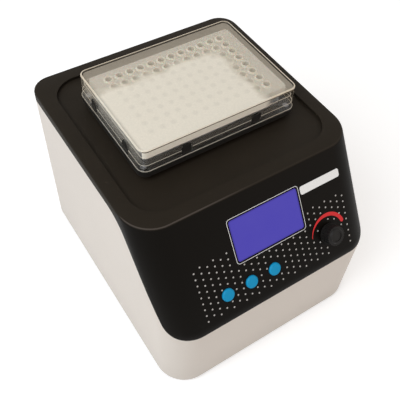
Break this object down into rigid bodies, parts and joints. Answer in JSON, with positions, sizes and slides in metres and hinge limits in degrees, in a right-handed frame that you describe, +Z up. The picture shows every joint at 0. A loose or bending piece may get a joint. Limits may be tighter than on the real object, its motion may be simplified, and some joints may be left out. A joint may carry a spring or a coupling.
{
  "type": "dry block heater",
  "caption": "Benchtop dry block heater and shaker: sloped control panel, and a shaking heated block holding a well plate under a clear lid.",
  "frame": {"origin": "on the table under the centre of the whole part", "axes": "+X to the right as one faces the panel, +Y to the back, +Z up"},
  "size_m": [0.19, 0.2312, 0.1825],
  "materials": {
    "housing_white": "fine-textured moulded plastic, warm white",
    "cover_black": "coarse-textured moulded plastic, warm black",
    "sheet_steel": "zinc-plated sheet",
    "foot_rubber": "matt moulded rubber",
    "screw_steel": "dark zinc-plated screws",
    "window_blue": "clear window over a lit blue display",
    "display_frame": "display housing",
    "board_green": "solder-resist over copper",
    "switch_black": "moulded switch bodies",
    "button_blue": "moulded cyan-blue plastic",
    "plunger_yellow": "switch plungers",
    "knob_black": "soft-touch plastic",
    "encoder_steel": "encoder can, nut and shaft",
    "badge_white": "bare raised plate",
    "aluminium": "bead-blasted and anodised",
    "motor_grey": "cast motor case",
    "bearing_steel": "ground rings",
    "shaft_steel": "turned and ground steel",
    "brass": "turned brass",
    "core_yellow": "taped windings over a laminated core",
    "capacitor_blue": "sleeved cans",
    "mat_orange": "silicone heating mat",
    "pedestal_cream": "heat-resistant plastic",
    "carrier_black": "satin plastic",
    "clear_plastic": "clear polycarbonate",
    "plate_white": "translucent polypropylene"
  },
  "bodies": {
    "base": {"lower_housing": "housing_white", "top_cover": "cover_black", "base_plate": "sheet_steel", "rubber_feet": "foot_rubber", "case_screws": "screw_steel", "display_window": "window_blue", "display_module": "display_frame", "control_board": "board_green", "board_screws": "screw_steel", "switch_bodies": "switch_black", "rotary_encoder": "encoder_steel", "encoder_nut": "encoder_steel", "badge_plate": "badge_white", "chassis_plate": "aluminium", "chassis_posts": "sheet_steel", "chassis_screws": "screw_steel", "motor": "motor_grey", "motor_screws": "screw_steel", "motor_bearing": "bearing_steel", "idler_bosses": "aluminium", "idler_lower_bearings": "bearing_steel", "power_board": "board_green", "board_standoffs": "brass", "transformer": "core_yellow", "capacitors": "capacitor_blue", "power_inlet": "switch_black", "inlet_pins": "brass", "inlet_screws": "screw_steel", "switch_frame": "switch_black"},
    "crank": {"motor_shaft": "shaft_steel", "eccentric_hub": "shaft_steel", "counterweight": "brass"},
    "left_idler": {"idler_crank_left": "shaft_steel"},
    "right_idler": {"idler_crank_right": "shaft_steel"},
    "back_idler": {"idler_crank_back": "shaft_steel"},
    "platform": {"platform_plate": "aluminium", "platform_bearing": "bearing_steel", "idler_upper_bearings": "bearing_steel", "pedestal": "pedestal_cream", "heater_plate": "aluminium", "heater_mat": "mat_orange", "temperature_sensor": "shaft_steel", "heating_block": "aluminium", "carrier_tray": "carrier_black", "carrier_screws": "screw_steel", "plate_frame": "clear_plastic"},
    "plate": {"well_plate": "plate_white"},
    "lid": {"clear_lid": "clear_plastic"},
    "left_key": {"left_button": "button_blue", "left_plunger": "plunger_yellow"},
    "middle_key": {"middle_button": "button_blue", "middle_plunger": "plunger_yellow"},
    "right_key": {"right_button": "button_blue", "right_plunger": "plunger_yellow"},
    "knob": {"encoder_shaft": "encoder_steel", "control_knob": "knob_black"},
    "fuse_holder": {"fuse_drawer": "switch_black"},
    "rocker": {"power_rocker": "switch_black"}
  },
  "joints": [
    {"name": "crank_spin", "type": "hinge", "parent": "base", "child": "crank", "pos_m": [-0.0015, 0.02387, 0.1], "axis": [0, 0, 1], "continuous": true},
    {"name": "platform_orbit", "type": "hinge", "parent": "crank", "child": "platform", "pos_m": [0, 0.02387, 0.12], "axis": [0, 0, 1], "continuous": true},
    {"name": "left_idler_spin", "type": "hinge", "parent": "base", "child": "left_idler", "pos_m": [-0.0535, -0.01013, 0.1], "axis": [0, 0, 1], "continuous": true},
    {"name": "right_idler_spin", "type": "hinge", "parent": "base", "child": "right_idler", "pos_m": [0.0505, -0.01013, 0.1], "axis": [0, 0, 1], "continuous": true},
    {"name": "back_idler_spin", "type": "hinge", "parent": "base", "child": "back_idler", "pos_m": [-0.0015, 0.07387, 0.1], "axis": [0, 0, 1], "continuous": true},
    {"name": "plate_lift", "type": "slide", "parent": "platform", "child": "plate", "axis": [0, 0, 1], "range_m": [0, 0.045]},
    {"name": "lid_lift", "type": "slide", "parent": "plate", "child": "lid", "axis": [0, 0, 1], "range_m": [0, 0.035]},
    {"name": "knob_turn", "type": "hinge", "parent": "base", "child": "knob", "pos_m": [0.052, -0.10633, 0.10317], "axis": [0, -0.8346, 0.5508], "continuous": true},
    {"name": "left_press", "type": "slide", "parent": "base", "child": "left_key", "axis": [0, 0.8346, -0.5508], "range_m": [0, 0.0008], "stiffness_N_per_m": 700, "springref_m": -0.0012},
    {"name": "middle_press", "type": "slide", "parent": "base", "child": "middle_key", "axis": [0, 0.8346, -0.5508], "range_m": [0, 0.0008], "stiffness_N_per_m": 700, "springref_m": -0.0012},
    {"name": "right_press", "type": "slide", "parent": "base", "child": "right_key", "axis": [0, 0.8346, -0.5508], "range_m": [0, 0.0008], "stiffness_N_per_m": 700, "springref_m": -0.0012},
    {"name": "fuse_slide", "type": "slide", "parent": "base", "child": "fuse_holder", "axis": [0, 1, 0], "range_m": [0, 0.018]},
    {"name": "power_tip", "type": "hinge", "parent": "base", "child": "rocker", "pos_m": [-0.008, 0.10937, 0.04], "axis": [1, 0, 0], "range_deg": [0, 20]}
  ],
  "couplings": [
    {"joint": "platform_orbit", "follows": "crank_spin", "ratio": -1},
    {"joint": "left_idler_spin", "follows": "crank_spin", "ratio": 1},
    {"joint": "right_idler_spin", "follows": "crank_spin", "ratio": 1},
    {"joint": "back_idler_spin", "follows": "crank_spin", "ratio": 1}
  ]
}
